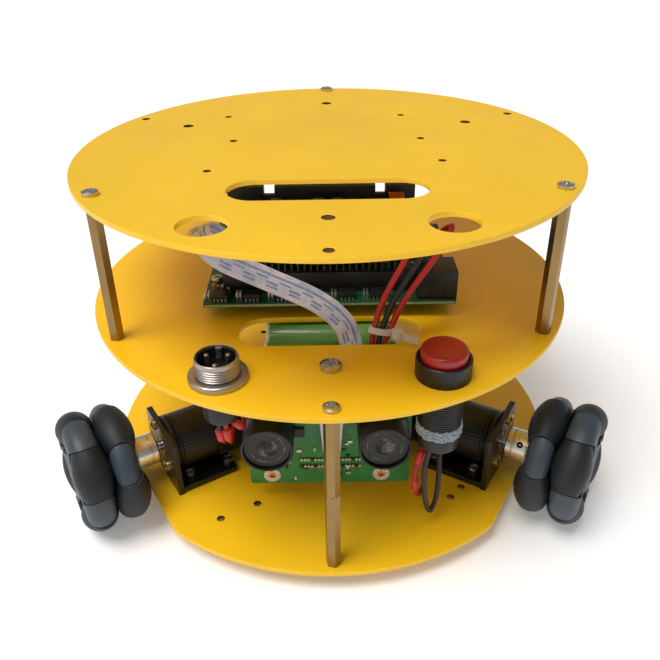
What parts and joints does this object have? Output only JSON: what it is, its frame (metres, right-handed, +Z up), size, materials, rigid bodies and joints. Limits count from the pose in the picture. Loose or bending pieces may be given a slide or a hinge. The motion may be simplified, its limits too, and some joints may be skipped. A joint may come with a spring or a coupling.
{
  "type": "omnidirectional robot car",
  "caption": "Round three-deck robot car on omni wheels, each driven by its own gear motor, with a distance sensor in front, circuit boards and a battery between the decks, and a push button.",
  "frame": {"origin": "on the car's turning axis at floor level, under the middle of the round decks", "axes": "+Z up along the turning axis, square to the decks; -Y towards the front, where the distance sensor is; +X to the car's right side as seen by someone looking at its front"},
  "size_m": [0.23, 0.2201, 0.1407],
  "materials": {
    "deck_paint": "satin yellow powder coat",
    "brass": "machined hexagonal bar",
    "steel": "zinc plated",
    "circuit_board": "solder mask",
    "nylon": "moulded",
    "battery_wrap": "heat-shrink film",
    "plated_metal": "nickel plated",
    "black_plastic": "moulded",
    "red_plastic": "moulded",
    "transducer_can": "satin black",
    "bare_aluminium": "brushed strip",
    "cable_film": "flat flexible film",
    "lead_sleeve": "smooth sleeve",
    "black_metal": "satin black",
    "motor_steel": "dark coated can",
    "hub_metal": "turned",
    "wheel_plastic": "moulded glass-filled nylon",
    "roller_rubber": "moulded"
  },
  "bodies": {
    "chassis": {"bottom_deck": "deck_paint", "middle_deck": "deck_paint", "top_deck": "deck_paint", "lower_standoffs": "brass", "upper_standoffs": "brass", "deck_and_bracket_screws": "steel", "controller_board": "circuit_board", "expansion_board": "circuit_board", "board_spacers": "nylon", "battery_pack": "battery_wrap", "charge_socket": "plated_metal", "power_button_housing": "black_plastic", "sensor_board": "circuit_board", "sensor_transducers": "transducer_can", "sensor_hanger": "bare_aluminium", "ribbon_cable": "cable_film", "power_leads": "lead_sleeve", "left_motor_bracket": "black_metal", "left_gear_motor": "motor_steel", "right_motor_bracket": "black_metal", "right_gear_motor": "motor_steel", "rear_motor_bracket": "black_metal", "rear_gear_motor": "motor_steel"},
    "power_button": {"power_button_cap": "red_plastic"},
    "left_wheel": {"left_motor_shaft": "steel", "left_drive_hub": "hub_metal", "left_wheel_frame": "wheel_plastic", "left_wheel_fasteners": "steel"},
    "left_roller_1": {"left_roller_1": "roller_rubber"},
    "left_roller_2": {"left_roller_2": "roller_rubber"},
    "left_roller_3": {"left_roller_3": "roller_rubber"},
    "left_roller_4": {"left_roller_4": "roller_rubber"},
    "left_roller_5": {"left_roller_5": "roller_rubber"},
    "left_roller_6": {"left_roller_6": "roller_rubber"},
    "left_roller_7": {"left_roller_7": "roller_rubber"},
    "left_roller_8": {"left_roller_8": "roller_rubber"},
    "right_wheel": {"right_motor_shaft": "steel", "right_drive_hub": "hub_metal", "right_wheel_frame": "wheel_plastic", "right_wheel_fasteners": "steel"},
    "right_roller_1": {"right_roller_1": "roller_rubber"},
    "right_roller_2": {"right_roller_2": "roller_rubber"},
    "right_roller_3": {"right_roller_3": "roller_rubber"},
    "right_roller_4": {"right_roller_4": "roller_rubber"},
    "right_roller_5": {"right_roller_5": "roller_rubber"},
    "right_roller_6": {"right_roller_6": "roller_rubber"},
    "right_roller_7": {"right_roller_7": "roller_rubber"},
    "right_roller_8": {"right_roller_8": "roller_rubber"},
    "rear_wheel": {"rear_motor_shaft": "steel", "rear_drive_hub": "hub_metal", "rear_wheel_frame": "wheel_plastic", "rear_wheel_fasteners": "steel"},
    "rear_roller_1": {"rear_roller_1": "roller_rubber"},
    "rear_roller_2": {"rear_roller_2": "roller_rubber"},
    "rear_roller_3": {"rear_roller_3": "roller_rubber"},
    "rear_roller_4": {"rear_roller_4": "roller_rubber"},
    "rear_roller_5": {"rear_roller_5": "roller_rubber"},
    "rear_roller_6": {"rear_roller_6": "roller_rubber"},
    "rear_roller_7": {"rear_roller_7": "roller_rubber"},
    "rear_roller_8": {"rear_roller_8": "roller_rubber"}
  },
  "joints": [
    {"name": "power_button_press", "type": "slide", "parent": "chassis", "child": "power_button", "axis": [0, 0, -1], "range_m": [0, 0.002], "stiffness_N_per_m": 600},
    {"name": "left_wheel_spin", "type": "hinge", "parent": "chassis", "child": "left_wheel", "pos_m": [-0.09388, -0.0542, 0.025], "axis": [-0.866, -0.5, 0], "continuous": true},
    {"name": "left_roller_1_spin", "type": "hinge", "parent": "left_wheel", "child": "left_roller_1", "pos_m": [-0.09204, -0.07038, 0.03469], "axis": [-0.2723, 0.4717, 0.8387], "continuous": true},
    {"name": "left_roller_2_spin", "type": "hinge", "parent": "left_wheel", "child": "left_roller_2", "pos_m": [-0.10435, -0.04905, 0.03993], "axis": [-0.4193, 0.7263, -0.5446], "continuous": true},
    {"name": "left_roller_3_spin", "type": "hinge", "parent": "left_wheel", "child": "left_roller_3", "pos_m": [-0.10697, -0.04452, 0.01531], "axis": [0.2723, -0.4717, -0.8387], "continuous": true},
    {"name": "left_roller_4_spin", "type": "hinge", "parent": "left_wheel", "child": "left_roller_4", "pos_m": [-0.09466, -0.06585, 0.01007], "axis": [0.4193, -0.7263, 0.5446], "continuous": true},
    {"name": "left_roller_5_spin", "type": "hinge", "parent": "left_wheel", "child": "left_roller_5", "pos_m": [-0.0864, -0.05416, 0.04241], "axis": [-0.4891, 0.8471, 0.2079], "continuous": true},
    {"name": "left_roller_6_spin", "type": "hinge", "parent": "left_wheel", "child": "left_roller_6", "pos_m": [-0.09695, -0.03587, 0.0287], "axis": [-0.104, 0.1801, -0.9781], "continuous": true},
    {"name": "left_roller_7_spin", "type": "hinge", "parent": "left_wheel", "child": "left_roller_7", "pos_m": [-0.0901, -0.04775, 0.00759], "axis": [0.4891, -0.8471, -0.2079], "continuous": true},
    {"name": "left_roller_8_spin", "type": "hinge", "parent": "left_wheel", "child": "left_roller_8", "pos_m": [-0.07954, -0.06603, 0.0213], "axis": [0.104, -0.1801, 0.9781], "continuous": true},
    {"name": "right_wheel_spin", "type": "hinge", "parent": "chassis", "child": "right_wheel", "pos_m": [0.09388, -0.0542, 0.025], "axis": [0.866, -0.5, 0], "continuous": true},
    {"name": "right_roller_1_spin", "type": "hinge", "parent": "right_wheel", "child": "right_roller_1", "pos_m": [0.10435, -0.04905, 0.03993], "axis": [-0.4193, -0.7263, 0.5446], "continuous": true},
    {"name": "right_roller_2_spin", "type": "hinge", "parent": "right_wheel", "child": "right_roller_2", "pos_m": [0.09204, -0.07038, 0.03469], "axis": [-0.2723, -0.4717, -0.8387], "continuous": true},
    {"name": "right_roller_3_spin", "type": "hinge", "parent": "right_wheel", "child": "right_roller_3", "pos_m": [0.09466, -0.06585, 0.01007], "axis": [0.4193, 0.7263, -0.5446], "continuous": true},
    {"name": "right_roller_4_spin", "type": "hinge", "parent": "right_wheel", "child": "right_roller_4", "pos_m": [0.10697, -0.04452, 0.01531], "axis": [0.2723, 0.4717, 0.8387], "continuous": true},
    {"name": "right_roller_5_spin", "type": "hinge", "parent": "right_wheel", "child": "right_roller_5", "pos_m": [0.09695, -0.03587, 0.0287], "axis": [-0.104, -0.1801, 0.9781], "continuous": true},
    {"name": "right_roller_6_spin", "type": "hinge", "parent": "right_wheel", "child": "right_roller_6", "pos_m": [0.0864, -0.05416, 0.04241], "axis": [-0.4891, -0.8471, -0.2079], "continuous": true},
    {"name": "right_roller_7_spin", "type": "hinge", "parent": "right_wheel", "child": "right_roller_7", "pos_m": [0.07954, -0.06603, 0.0213], "axis": [0.104, 0.1801, -0.9781], "continuous": true},
    {"name": "right_roller_8_spin", "type": "hinge", "parent": "right_wheel", "child": "right_roller_8", "pos_m": [0.0901, -0.04775, 0.00759], "axis": [0.4891, 0.8471, 0.2079], "continuous": true},
    {"name": "rear_wheel_spin", "type": "hinge", "parent": "chassis", "child": "rear_wheel", "pos_m": [0, 0.1084, 0.025], "axis": [0, 1, 0], "continuous": true},
    {"name": "rear_roller_1_spin", "type": "hinge", "parent": "rear_wheel", "child": "rear_roller_1", "pos_m": [-0.01493, 0.1149, 0.03469], "axis": [0.5446, 0, 0.8387], "continuous": true},
    {"name": "rear_roller_2_spin", "type": "hinge", "parent": "rear_wheel", "child": "rear_roller_2", "pos_m": [0.00969, 0.1149, 0.03993], "axis": [0.8387, 0, -0.5446], "continuous": true},
    {"name": "rear_roller_3_spin", "type": "hinge", "parent": "rear_wheel", "child": "rear_roller_3", "pos_m": [0.01493, 0.1149, 0.01531], "axis": [-0.5446, 0, -0.8387], "continuous": true},
    {"name": "rear_roller_4_spin", "type": "hinge", "parent": "rear_wheel", "child": "rear_roller_4", "pos_m": [-0.00969, 0.1149, 0.01007], "axis": [-0.8387, 0, 0.5446], "continuous": true},
    {"name": "rear_roller_5_spin", "type": "hinge", "parent": "rear_wheel", "child": "rear_roller_5", "pos_m": [-0.0037, 0.1019, 0.04241], "axis": [0.9781, 0, 0.2079], "continuous": true},
    {"name": "rear_roller_6_spin", "type": "hinge", "parent": "rear_wheel", "child": "rear_roller_6", "pos_m": [0.01741, 0.1019, 0.0287], "axis": [0.2079, 0, -0.9781], "continuous": true},
    {"name": "rear_roller_7_spin", "type": "hinge", "parent": "rear_wheel", "child": "rear_roller_7", "pos_m": [0.0037, 0.1019, 0.00759], "axis": [-0.9781, 0, -0.2079], "continuous": true},
    {"name": "rear_roller_8_spin", "type": "hinge", "parent": "rear_wheel", "child": "rear_roller_8", "pos_m": [-0.01741, 0.1019, 0.0213], "axis": [-0.2079, 0, 0.9781], "continuous": true}
  ]
}
